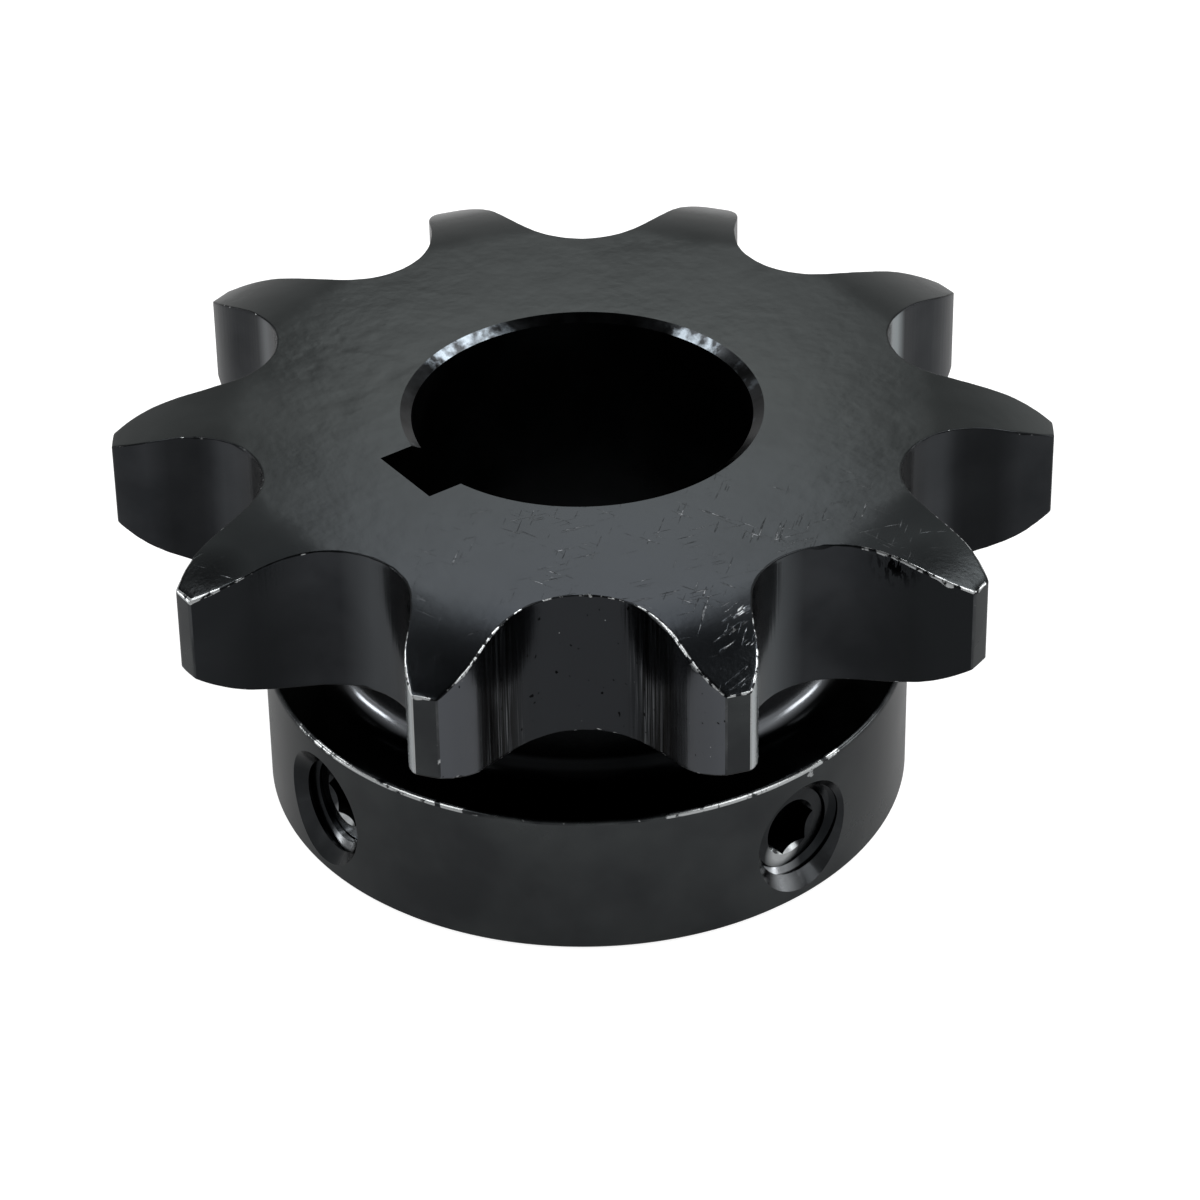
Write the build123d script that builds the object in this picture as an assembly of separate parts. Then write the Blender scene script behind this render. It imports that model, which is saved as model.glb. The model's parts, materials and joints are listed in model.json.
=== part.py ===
"""Roller-chain sprocket with a hub on one side, a keyed bore and two set screws.

The sprocket stands on its hub: +Z runs along the bore towards the toothed plate,
the origin is on the bore's axis at the hub's end face, and the keyway is on -X.
"""
from build123d import *
from math import acos, atan2, cos, degrees, hypot, radians, sin, sqrt, tan
import os

# Chain that the teeth carry
PITCH = 19.05
ROLLER_DIAMETER = 11.91
TEETH = 10

# Toothed plate
PLATE_THICKNESS = 11.7
SEATING_CLEARANCE = 0.2
TOPPING_RADIUS = 8.8
SIDE_DEPTH = 9.3
SIDE_RELIEF = 2.5

# Hub, and the neck turned between it and the plate for the chain's side plates
THROUGH_LENGTH = 31.75
HUB_DIAMETER = 49.2
HUB_LENGTH = 11.75
NECK_DIAMETER = 38.6
NECK_FILLET = 2.0
EDGE_BREAK = 0.3

# Bore and keyway
BORE_DIAMETER = 25.4
BORE_CHAMFER_WIDTH = 0.8
BORE_CHAMFER_DEPTH = 0.5
KEYWAY_WIDTH = 6.35
KEYWAY_DEPTH = 3.175
KEYWAY_ANGLE = 180

# Tapped holes through the hub, one over the keyway and one to its side
HOLE_HEIGHT = 5.6
HOLE_ENTRY_DIAMETER = 9.4
SIDE_HOLE_OFFSET = 95

# Socket set screws
SCREW_DIAMETER = 7.94
SCREW_CLEARANCE = 0.05
SCREW_LENGTH = 6.35
SCREW_CHAMFER = 0.6
SOCKET_ACROSS_FLATS = 3.97
SOCKET_DEPTH = 3.2
KEY_SCREW_RECESS = 2.2
SIDE_SCREW_RECESS = 1.6

# Sizes that follow from the ones above
PITCH_RADIUS = PITCH / sin(radians(180 / TEETH)) / 2
TIP_RADIUS = PITCH * (0.6 + 1 / tan(radians(180 / TEETH))) / 2
HUB_RADIUS = HUB_DIAMETER / 2
NECK_RADIUS = NECK_DIAMETER / 2
BORE_RADIUS = BORE_DIAMETER / 2
SCREW_RADIUS = SCREW_DIAMETER / 2
HOLE_RADIUS = SCREW_RADIUS + SCREW_CLEARANCE
PLATE_UNDERSIDE = THROUGH_LENGTH - PLATE_THICKNESS
FIRST_GAP_ANGLE = KEYWAY_ANGLE + 180 / TEETH
CUT_MARGIN = 1.0


def polar(radius, angle):
    """The point at a radius and an angle in degrees, measured from +X."""
    return Vector(radius * cos(radians(angle)), radius * sin(radians(angle)))


def turned_blank():
    """The blank as it leaves the lathe, with its bore, neck and curved rim."""
    side_start = TIP_RADIUS - SIDE_DEPTH
    mouth = BORE_RADIUS + BORE_CHAMFER_WIDTH
    with BuildPart() as blank:
        with BuildSketch(Plane.XZ):
            with BuildLine():
                Polyline(
                    (NECK_RADIUS + NECK_FILLET, HUB_LENGTH),
                    (HUB_RADIUS - EDGE_BREAK, HUB_LENGTH),
                    (HUB_RADIUS, HUB_LENGTH - EDGE_BREAK),
                    (HUB_RADIUS, 0),
                    (mouth, 0),
                    (BORE_RADIUS, BORE_CHAMFER_DEPTH),
                    (BORE_RADIUS, THROUGH_LENGTH - BORE_CHAMFER_DEPTH),
                    (mouth, THROUGH_LENGTH),
                    (side_start, THROUGH_LENGTH),
                )
                upper_side = TangentArc(
                    (side_start, THROUGH_LENGTH),
                    (TIP_RADIUS, THROUGH_LENGTH - SIDE_RELIEF),
                    tangent=(1, 0),
                )
                lower_side = TangentArc(
                    (side_start, PLATE_UNDERSIDE),
                    (TIP_RADIUS, PLATE_UNDERSIDE + SIDE_RELIEF),
                    tangent=(1, 0),
                )
                Line(upper_side @ 1, lower_side @ 1)
                hub_fillet = TangentArc(
                    (NECK_RADIUS, HUB_LENGTH + NECK_FILLET),
                    (NECK_RADIUS + NECK_FILLET, HUB_LENGTH),
                    tangent=(0, -1),
                )
                # The corner under the plate can't be seen: a chamfer as large as the fillet
                Polyline(
                    hub_fillet @ 0,
                    (NECK_RADIUS, PLATE_UNDERSIDE - NECK_FILLET),
                    (NECK_RADIUS + NECK_FILLET, PLATE_UNDERSIDE),
                    lower_side @ 0,
                )
            make_face()
        revolve(axis=Axis.Z)
    return blank.part


def tooth_gap():
    """The gap that a roller drops into, from its centre, with +X outwards.

    Its outline is the standard roller-chain tooth form: a seating arc, a working
    arc, a short straight and a topping arc up to the tips, then clear of them.
    """
    contact = 35 + 60 / TEETH
    work_sweep = 18 - 56 / TEETH
    lean = contact - work_sweep
    seat_radius = ROLLER_DIAMETER / 2 + SEATING_CLEARANCE
    work_offset = 0.8 * ROLLER_DIAMETER
    straight = ROLLER_DIAMETER * (
        1.4 * sin(radians(17 - 64 / TEETH)) - 0.8 * sin(radians(work_sweep))
    )
    with BuildSketch() as gap:
        with BuildLine():
            CenterArc((0, 0), seat_radius, 180, contact - 90)
            work = CenterArc(
                polar(work_offset, contact - 90),
                work_offset + seat_radius,
                90 + contact,
                -work_sweep,
            )
            flank = PolarLine(work @ 1, straight, angle=lean)
            top_centre = flank @ 1 + polar(TOPPING_RADIUS, 90 + lean)
            reach = hypot(top_centre.X + PITCH_RADIUS, top_centre.Y)
            inwards = degrees(atan2(-top_centre.Y, -PITCH_RADIUS - top_centre.X))
            cosine = (TOPPING_RADIUS**2 + reach**2 - TIP_RADIUS**2) / (2 * TOPPING_RADIUS * reach)
            tip_angle = inwards + degrees(acos(cosine))
            top = CenterArc(top_centre, TOPPING_RADIUS, lean - 90, tip_angle - lean + 90)
            outside = TIP_RADIUS - PITCH_RADIUS + CUT_MARGIN
            Polyline(top @ 1, (outside, (top @ 1).Y), (outside, 0))
            mirror(about=Plane.XZ)
        make_face()
    return gap.sketch


def hole_plane(angle):
    """A plane that touches the hub over a tapped hole and faces outwards."""
    outwards = polar(1, angle)
    return Plane(origin=outwards * HUB_RADIUS + Vector(0, 0, HOLE_HEIGHT), x_dir=(0, 0, 1), z_dir=outwards)


def tapped_hole(angle):
    """The drill's path from the hub's surface into the bore, with its countersink."""
    inwards = (Align.CENTER, Align.CENTER, Align.MAX)
    drill = Cylinder(HOLE_RADIUS, HUB_RADIUS, align=inwards)
    entry_radius = HOLE_ENTRY_DIAMETER / 2
    countersink = Cone(HOLE_RADIUS, entry_radius, entry_radius - HOLE_RADIUS, align=inwards)
    return hole_plane(angle) * (drill + countersink)


def set_screw(angle, recess):
    """One set screw, sunk below the hub's surface by the recess."""
    with BuildPart() as screw:
        with BuildSketch(Plane.XZ):
            Polygon(
                (0, 0),
                (SCREW_RADIUS - SCREW_CHAMFER, 0),
                (SCREW_RADIUS, -SCREW_CHAMFER),
                (SCREW_RADIUS, SCREW_CHAMFER - SCREW_LENGTH),
                (SCREW_RADIUS - SCREW_CHAMFER, -SCREW_LENGTH),
                (0, -SCREW_LENGTH),
                align=None,
            )
        revolve(axis=Axis.Z)
        with BuildSketch():
            RegularPolygon(SOCKET_ACROSS_FLATS / 2, 6, major_radius=False)
        extrude(amount=-SOCKET_DEPTH, mode=Mode.SUBTRACT)
    return hole_plane(angle).offset(-recess) * screw.part


def sprocket(hole_angles):
    """The sprocket: a turned blank with its gaps, keyway and tapped holes cut."""
    gap = tooth_gap()
    places = PolarLocations(PITCH_RADIUS, TEETH, start_angle=FIRST_GAP_ANGLE)
    below_plate = Plane.XY.offset(PLATE_UNDERSIDE - CUT_MARGIN)
    gaps = extrude(below_plate * Sketch([place * gap for place in places]), PLATE_THICKNESS + 2 * CUT_MARGIN)
    keyway = Rotation(0, 0, KEYWAY_ANGLE) * Box(
        BORE_RADIUS + KEYWAY_DEPTH,
        KEYWAY_WIDTH,
        THROUGH_LENGTH,
        align=(Align.MIN, Align.CENTER, Align.MIN),
    )
    body = turned_blank() - gaps - keyway
    for angle in hole_angles:
        body -= tapped_hole(angle)
    return body


KEY_HOLE_ANGLE = KEYWAY_ANGLE
SIDE_HOLE_ANGLE = KEYWAY_ANGLE + SIDE_HOLE_OFFSET

parts = {
    "sprocket": sprocket([KEY_HOLE_ANGLE, SIDE_HOLE_ANGLE]),
    "set_screws": Compound(
        children=[
            set_screw(KEY_HOLE_ANGLE, KEY_SCREW_RECESS),
            set_screw(SIDE_HOLE_ANGLE, SIDE_SCREW_RECESS),
        ]
    ),
}

os.makedirs("parts", exist_ok=True)
for name, shape in parts.items():
    shape.label = name
    export_step(shape, f"parts/{name}.step")
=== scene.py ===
# %% [markdown]
# # A blackened chain sprocket with two set screws
# The real part is turned from a steel bar, has its teeth hobbed, its bore keyed and
# its hub drilled and tapped, and is then blackened. The sizes are the CAD model's.
# Here the same part gets the surface that a camera sees: edges that lost their
# coating, cutter streaks on the tooth flanks, real threads, and a studio to show them.

# %% Load the measured model
import json
import math

import bmesh
import bpy
from mathutils import Matrix, Vector, noise


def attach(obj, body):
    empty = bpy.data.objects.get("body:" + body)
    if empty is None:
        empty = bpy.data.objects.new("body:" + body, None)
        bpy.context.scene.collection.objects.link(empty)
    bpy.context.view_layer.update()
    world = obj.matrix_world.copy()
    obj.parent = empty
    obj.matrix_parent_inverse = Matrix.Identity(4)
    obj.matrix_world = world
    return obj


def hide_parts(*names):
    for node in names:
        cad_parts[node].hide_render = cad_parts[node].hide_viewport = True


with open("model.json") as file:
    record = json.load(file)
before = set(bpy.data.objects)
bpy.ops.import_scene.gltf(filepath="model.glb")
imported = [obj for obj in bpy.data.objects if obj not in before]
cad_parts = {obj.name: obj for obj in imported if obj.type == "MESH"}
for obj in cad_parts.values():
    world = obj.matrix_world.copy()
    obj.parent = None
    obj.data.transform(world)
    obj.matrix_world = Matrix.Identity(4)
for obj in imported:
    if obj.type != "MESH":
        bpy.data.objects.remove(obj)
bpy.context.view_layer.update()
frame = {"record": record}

# %% [markdown]
# Blender works in metres and machinists in millimetres. One constant turns one into
# the other, so every size below can be read off a drawing.

# %% Sizes shared with the drawing
MM = 0.001
TEETH = 10
PITCH = 19.05 * MM
ROLLER = 11.91 * MM
PITCH_RADIUS = PITCH / math.sin(math.pi / TEETH) / 2
TIP_RADIUS = PITCH * (0.6 + 1 / math.tan(math.pi / TEETH)) / 2
SEAT_CLEARANCE = 0.2 * MM
SEAT_RADIUS = ROLLER / 2 + SEAT_CLEARANCE
TOPPING_RADIUS = 8.8 * MM

TOP = 31.75 * MM
PLATE = 11.7 * MM
UNDERSIDE = TOP - PLATE
SIDE_DEPTH = 9.3 * MM
SIDE_RELIEF = 2.5 * MM
SIDE_RADIUS = (SIDE_DEPTH**2 + SIDE_RELIEF**2) / (2 * SIDE_RELIEF)

HUB_RADIUS = 24.6 * MM
HUB_TOP = 11.75 * MM
NECK_RADIUS = 19.3 * MM
NECK_FILLET = 2.0 * MM
BORE_RADIUS = frame["record"]["mounts"][0]["dims"]["r_mm"] * MM
MOUTH_WIDTH = 0.8 * MM
MOUTH_DEPTH = 0.5 * MM
MOUTH_RADIUS = BORE_RADIUS + MOUTH_WIDTH
KEYWAY_WIDTH = 6.35 * MM
KEYWAY_DEPTH = 3.175 * MM
KEYWAY_FLOOR = BORE_RADIUS + KEYWAY_DEPTH
print("tips", round(TIP_RADIUS / MM, 2), "mm from the axis, length", round(TOP / MM, 2), "mm")

# %% [markdown]
# ## The outline of the teeth
# A hob cuts every gap to the same standard form: a round seat for the roller, a
# working arc, a short straight and a topping arc that ends at the tips. A curve object
# could draw it, but spinning one vertex about the centre of each arc in turn gives the
# drawing's own radii, and evenly spaced points to raise the walls on.

# %% Half a gap, spun arc by arc
def polar(radius, degrees):
    """The point at a radius and an angle from +X, on the floor plane."""
    angle = math.radians(degrees)
    return Vector((radius * math.cos(angle), radius * math.sin(angle), 0))


def spin_on(tail, centre, degrees, steps):
    """Spins the last vertex of the chain about a centre and returns the new last one."""
    made = bmesh.ops.spin(
        bm, geom=[tail], cent=centre, axis=(0, 0, 1), dvec=(0, 0, 0),
        angle=math.radians(degrees), steps=steps, use_merge=False, use_duplicate=False,
    )
    return made["geom_last"][0]


# The standard's own formulas, in degrees from the number of teeth.
contact = 35 + 60 / TEETH
work_sweep = 18 - 56 / TEETH
lean = contact - work_sweep
straight = ROLLER * (
    1.4 * math.sin(math.radians(17 - 64 / TEETH)) - 0.8 * math.sin(math.radians(work_sweep))
)

bm = bmesh.new()
worn = bm.verts.layers.float.new("worn")
outline = bm.verts.layers.float_vector.new("outline")
inward = bm.verts.layers.float_vector.new("inward")
roller = Vector((PITCH_RADIUS, 0, 0))
tail = bm.verts.new(roller - Vector((SEAT_RADIUS, 0, 0)))
tail = spin_on(tail, roller, contact - 90, steps=16)
tail = spin_on(tail, roller + polar(0.8 * ROLLER, contact - 90), -work_sweep, steps=10)
tail = bmesh.ops.extrude_vert_indiv(bm, verts=[tail])["verts"][0]
tail.co += polar(straight, lean)

# %% [markdown]
# The topping arc stops where it meets the turned outside of the blank. Its sweep comes
# from the triangle between the axis, the arc's centre and the tip. What is left of the
# turned surface is a narrow flat land, and its two corners are worn a little round.

# %% The topping arc, the land and its worn corner
LAND_CORNER = 0.1 * MM
top_centre = tail.co + polar(TOPPING_RADIUS, 90 + lean)
reach = top_centre.length
cosine = (TOPPING_RADIUS**2 + reach**2 - TIP_RADIUS**2) / (2 * TOPPING_RADIUS * reach)
inwards = math.degrees(math.atan2(-top_centre.y, -top_centre.x))
sweep = inwards + math.degrees(math.acos(cosine)) - (lean - 90)
tip = spin_on(tail, top_centre, sweep, steps=18)
tip_angle = math.degrees(math.atan2(tip.co.y, tip.co.x))
spin_on(tip, Vector(), 180 / TEETH - tip_angle, steps=3)

rounded = bmesh.ops.bevel(
    bm, geom=[tip], offset=LAND_CORNER, offset_type="OFFSET", segments=2, profile=0.5,
    affect="VERTICES", material=-1,
)
for vert in rounded["verts"]:
    vert[worn] = 1
print("half land", round((180 / TEETH - tip_angle) * math.radians(1) * TIP_RADIUS / MM, 2), "mm")

# %% [markdown]
# One half mirrored makes a gap, and ten gaps spun about the axis make the wheel. The
# keyway stays on a tooth's centre line, so the first gap sits half a pitch from +X.

# %% Mirror and repeat round the wheel
SAME_POINT = MM / 1000
SAME_SPUN_POINT = MM / 200    # what was spun far round an axis meets less exactly
bmesh.ops.mirror(bm, geom=bm.verts[:] + bm.edges[:], axis="Y", merge_dist=SAME_POINT)
bmesh.ops.spin(
    bm, geom=bm.verts[:] + bm.edges[:], cent=(0, 0, 0), axis=(0, 0, 1), dvec=(0, 0, 0),
    angle=math.tau, steps=TEETH, use_merge=False, use_duplicate=True,
)
bmesh.ops.remove_doubles(bm, verts=bm.verts, dist=SAME_SPUN_POINT)
half_pitch = Matrix.Rotation(math.pi / TEETH, 3, "Z")
bmesh.ops.rotate(bm, verts=bm.verts, cent=(0, 0, 0), matrix=half_pitch)
print("outline", len(bm.verts), "points,", len(bm.edges), "edges")

# %% [markdown]
# ## Edges with a history
# Sprockets rattle against each other in the blackening basket, and the coating goes
# first along the sharp tooth edges. A Bevel modifier would round them all alike. Here
# each point of the outline remembers where it is and which way the metal lies, and the
# rings above and below it use that to make an edge that is wide in some places and thin
# in others, with small chips.

# %% Remember the outline, and measure the wear along it
EDGE_WIDTH = 0.09 * MM
WAVER = 0.5
WAVER_SIZE = 0.6 * MM
CHIP_DEPTH = 0.55 * MM
CHIP_SIZE = 1.3 * MM
CHIPS_FROM = 0.3
KNOCKED_CHIPS = 0.2
ELSEWHERE = Vector((3, 1, 4))    # takes the chips from another part of the noise
NOISE_HEIGHT = 7 * MM    # keeps the noise of the two edges apart

# Each knock has its place, how far it reaches and how much width it adds.
KNOCKS = (
    (polar(30.6 * MM, 219.3), 4 * MM, 1.2),
    (polar(30.3 * MM, 246.8), 4.5 * MM, 1.4),
    (polar(33.4 * MM, 213), 3 * MM, 0.6),
    (polar(32.6 * MM, 255.5), 4 * MM, 0.8),
    (polar(34.5 * MM, 181), 4 * MM, 1.5),
    (polar(31 * MM, 285), 6 * MM, 1.5),
)
for vert in bm.verts:
    before, after = (edge.other_vert(vert).co for edge in vert.link_edges)
    if before.cross(after).z < 0:
        before, after = after, before
    along = after - before
    vert[outline] = vert.co
    vert[inward] = Vector((-along.y, along.x, 0)).normalized()


def edge_wear(point, side, depth):
    """How far the worn edge reaches at a point: a thin line, deeper where it is chipped.

    The top edge is wider and more chipped where it was knocked.
    """
    here = Vector((point.x, point.y, side * NOISE_HEIGHT))
    waver = noise.noise(here / WAVER_SIZE)
    chips = noise.noise(here / CHIP_SIZE + ELSEWHERE)
    knocked = 0
    if side > 0:
        knocked = max(
            more * max(0, 1 - (point - place).length / reach) for place, reach, more in KNOCKS)
    chipped = max(0, chips - CHIPS_FROM + KNOCKED_CHIPS * knocked)
    return EDGE_WIDTH * (1 + WAVER * waver + knocked) + depth * chipped


widths = [edge_wear(vert.co, 1, CHIP_DEPTH) / MM for vert in bm.verts]
print("edge wear from", round(min(widths), 2), "to", round(max(widths), 2), "mm")

# %% [markdown]
# ## The blank, ring by ring
# The body is one closed skin that follows the outline down the tooth walls, in under
# the plate, round the neck and hub, up through the bore and back out over the top face.
# Each step extrudes a ring of edges and places the new one. A boolean of a turned blank
# and ten cutters would give the same shape, but its long thin faces shade badly.

# %% Helpers that add one ring
ZONES = ["plate_face", "tooth_flank", "tooth_land", "land_corner", "worn_edge", "worn_rim",
         "turned_hub", "neck_painted_shade_and_glint", "bore_wall", "bore_mouth"]


def add_ring(ring, zone, place):
    """Extrudes a ring of edges, puts its vertices where place() says, and names its faces."""
    made = bmesh.ops.extrude_edge_only(bm, edges=ring)["geom"]
    for item in made:
        if isinstance(item, bmesh.types.BMVert):
            item.co = place(item)
    for item in made:
        if isinstance(item, bmesh.types.BMFace):
            item.material_index = ZONES.index(zone(item) if callable(zone) else zone)
    return [item for item in made if isinstance(item, bmesh.types.BMEdge)]


def sag(radius):
    """How far the curved side of the teeth has dropped below the flat face at a radius."""
    out = max(0, radius - (TIP_RADIUS - SIDE_DEPTH))
    return SIDE_RADIUS - math.sqrt(SIDE_RADIUS**2 - out**2)


def face_height(radius, side):
    """The height of the plate's top (side 1) or underside (side -1) at a radius."""
    return TOP - sag(radius) if side > 0 else UNDERSIDE + sag(radius)


# %% The tooth walls, from the top edge to the bottom edge
WALL_ROWS = 8
EDGE_STEPS = 3
SUPPORT = 0.025    # the share of a span at which a row keeps the shading flat to its end
LAND_FROM = TIP_RADIUS - MM / 500    # what lies at least this far out is turned land


def even_rows(count):
    """Evenly spaced rows from 0 to 1, with a support row close to each end."""
    return [SUPPORT, *(row / count for row in range(1, count)), 1 - SUPPORT, 1]


def on_edge(vert, share, side):
    """A point of the rounded edge: share 0 meets the tooth wall and 1 the plate's side."""
    angle = share * math.pi / 2
    width = edge_wear(vert[outline], side, 0)
    drop = edge_wear(vert[outline], side, CHIP_DEPTH)
    place = vert[outline] + vert[inward] * width * (1 - math.cos(angle))
    place.z = face_height(place.length, side) - side * drop * (1 - math.sin(angle))
    return place


def on_wall(vert, share):
    """A point of the tooth wall: share 0 is its top row and 1 its bottom row."""
    return on_edge(vert, 0, 1).lerp(on_edge(vert, 0, -1), share)


def wall_zone(face):
    """The land is what was turned, its corners are worn bare, and the rest was hobbed."""
    if all(vert[worn] for vert in face.verts):
        return "land_corner"
    on_tip = all(vert[outline].length > LAND_FROM for vert in face.verts)
    return "tooth_land" if on_tip else "tooth_flank"


for vert in bm.verts:
    vert.co = on_wall(vert, 0)
ring = bm.edges[:]
for share in even_rows(WALL_ROWS):
    ring = add_ring(ring, wall_zone, lambda vert: on_wall(vert, share))
print("tooth walls", len(bm.faces), "faces")

# %% [markdown]
# The plate's sides curve away towards the tips, so that the chain's side plates can find
# their way on. Both sides are surfaces of revolution, so a point only needs its radius
# to know its height.

# %% The underside of the plate
FACE_ROWS = 12
INNER_CIRCLE = 21.8 * MM    # between the neck's fillet and the bottoms of the gaps


def on_face(vert, share, side):
    """A point of the plate's side: share 0 is the tooth edge and 1 the inner circle."""
    place = on_edge(vert, 1, side)
    place.z = 0
    place *= 1 + (INNER_CIRCLE / place.length - 1) * share
    place.z = face_height(place.length, side)
    return place


for step in range(1, EDGE_STEPS + 1):
    ring = add_ring(ring, "worn_edge", lambda vert: on_edge(vert, step / EDGE_STEPS, -1))
for share in even_rows(FACE_ROWS):
    ring = add_ring(ring, "plate_face", lambda vert: on_face(vert, share, -1))
print("underside", len(bm.faces), "faces so far")

# %% [markdown]
# Neck, hub and bore are plain turned shapes, so each ring is a circle. The hub's rim
# has lost its coating along the front, and gets its own worn zone.

# %% Neck, hub and bore
RIM_BREAK = 0.3 * MM
FILLET_STEPS = 7
RIM_STEPS = 4
HUB_ROWS = 5
BORE_ROWS = 4


def turn_to(ring, zone, radius, height):
    """Adds a circular ring at a radius and a height."""
    def place(vert):
        round_point = vert[outline].normalized() * radius
        round_point.z = height
        return round_point
    return add_ring(ring, zone, place)


def turn_round(ring, zone, centre_radius, centre_height, radius, start, sweep, steps):
    """Adds rings round a fillet or a rounded edge, seen in the turned section."""
    for step in range(1, steps + 1):
        point = polar(radius, start + sweep * step / steps)
        ring = turn_to(ring, zone, centre_radius + point.x, centre_height + point.y)
    return ring


fillet_centre = NECK_RADIUS + NECK_FILLET
ring = turn_to(ring, "neck_painted_shade_and_glint", fillet_centre, UNDERSIDE)
ring = turn_round(
    ring, "neck_painted_shade_and_glint", fillet_centre, UNDERSIDE - NECK_FILLET, NECK_FILLET, 90, 90, FILLET_STEPS)
ring = turn_to(ring, "neck_painted_shade_and_glint", NECK_RADIUS, HUB_TOP + NECK_FILLET)
ring = turn_round(
    ring, "neck_painted_shade_and_glint", fillet_centre, HUB_TOP + NECK_FILLET, NECK_FILLET, 180, 90, FILLET_STEPS)
ring = turn_to(ring, "neck_painted_shade_and_glint", HUB_RADIUS - 2 * RIM_BREAK, HUB_TOP)
ring = turn_to(ring, "neck_painted_shade_and_glint", HUB_RADIUS - RIM_BREAK, HUB_TOP)
ring = turn_round(
    ring, "worn_rim", HUB_RADIUS - RIM_BREAK, HUB_TOP - RIM_BREAK, RIM_BREAK, 90, -90, RIM_STEPS)
for share in even_rows(HUB_ROWS):
    drop = (HUB_TOP - 2 * RIM_BREAK) * share
    ring = turn_to(ring, "turned_hub", HUB_RADIUS, HUB_TOP - RIM_BREAK - drop)
ring = turn_to(ring, "worn_edge", HUB_RADIUS - RIM_BREAK, 0)
ring = turn_to(ring, "turned_hub", MOUTH_RADIUS, 0)
ring = turn_to(ring, "bore_mouth", BORE_RADIUS, MOUTH_DEPTH)
for step in range(1, BORE_ROWS + 1):
    rise = (TOP - 2 * MOUTH_DEPTH) * step / BORE_ROWS
    ring = turn_to(ring, "bore_wall", BORE_RADIUS, MOUTH_DEPTH + rise)
ring = turn_to(ring, "bore_mouth", MOUTH_RADIUS, TOP)
print("turned section", len(bm.faces), "faces so far")

# %% The top face, and the edge that closes the skin
INNER_ROWS = 3
for step in range(1, INNER_ROWS + 1):
    out = (INNER_CIRCLE - MOUTH_RADIUS) * step / INNER_ROWS
    ring = turn_to(ring, "plate_face", MOUTH_RADIUS + out, TOP)
for share in [*reversed(even_rows(FACE_ROWS)[:-1]), 0]:
    ring = add_ring(ring, "plate_face", lambda vert: on_face(vert, share, 1))
for step in range(EDGE_STEPS - 1, -1, -1):
    ring = add_ring(ring, "worn_edge", lambda vert: on_edge(vert, step / EDGE_STEPS, 1))
bmesh.ops.remove_doubles(bm, verts=bm.verts, dist=SAME_POINT)
bmesh.ops.recalc_face_normals(bm, faces=bm.faces)
open_edges = sum(not edge.is_manifold for edge in bm.edges)
print("skin", len(bm.faces), "faces,", open_edges, "open edges, volume",
      round(bm.calc_volume() / MM**3), "mm3")

# %% [markdown]
# ## Cutting the keyway and the tapped holes
# The keyway is broached and the holes are drilled and tapped after turning, so boolean
# cuts are the natural way to make them. Each cutter is a closed mesh, and the faces that
# it leaves take the cutter's own material.

# %% Turn a bmesh into an object, and cut one object with another
def finished_object(name, mesh_data, *materials):
    """Puts a bmesh into an object at the origin, with its materials in order."""
    mesh = bpy.data.meshes.new(name)
    mesh_data.to_mesh(mesh)
    mesh_data.free()
    made = bpy.data.objects.new(name, mesh)
    bpy.context.scene.collection.objects.link(made)
    for material in materials:
        mesh.materials.append(material)
    return made


def cut(piece, cutter, operation="DIFFERENCE"):
    """Applies an exact boolean to a piece and removes the cutter."""
    boolean = piece.modifiers.new("cut", "BOOLEAN")
    boolean.object = cutter
    boolean.operation = operation
    boolean.solver = "EXACT"
    boolean.material_mode = "TRANSFER"
    shaped = piece.evaluated_get(bpy.context.evaluated_depsgraph_get())
    mesh = bpy.data.meshes.new_from_object(shaped)
    piece.modifiers.clear()
    piece.data = mesh
    bpy.data.objects.remove(cutter)


FINISHES = [*ZONES, "broached_keyway", "cut_thread", "countersunk_entry", "screw_steel"]
materials = {name: bpy.data.materials.new(name) for name in FINISHES}
sprocket = finished_object("sprocket_body", bm, *(materials[zone] for zone in ZONES))

# %% The keyway
PAST = 2 * MM    # how far a cutter goes past the surface where it starts or ends
keyway = bmesh.new()
bmesh.ops.create_cube(keyway, size=1)
length = TOP + 2 * PAST
bmesh.ops.scale(keyway, verts=keyway.verts, vec=(KEYWAY_FLOOR, KEYWAY_WIDTH, length))
bmesh.ops.translate(keyway, verts=keyway.verts, vec=(-KEYWAY_FLOOR / 2, 0, TOP / 2))
cut(sprocket, finished_object("keyway_cutter", keyway, materials["broached_keyway"]))
print("keyway floor", round(KEYWAY_FLOOR / MM, 2), "mm from the axis")

# %% [markdown]
# A thread is a V-shaped profile that turns about its axis and moves along it at the same
# time, which is one spin with an offset. Neighbouring turns meet exactly, so merging
# them gives one skin, and flat cuts at both ends close it. The tapped hole and its screw
# use the same thread, in the same place on the axis and with a little clearance, so the
# screw sits in its hole as a real one does and touches it nowhere.

# %% A threaded rod about the Z axis
THREAD_PITCH = 1.411 * MM
THREAD_DEPTH = 0.7 * MM
THREAD_STEPS = 56


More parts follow.
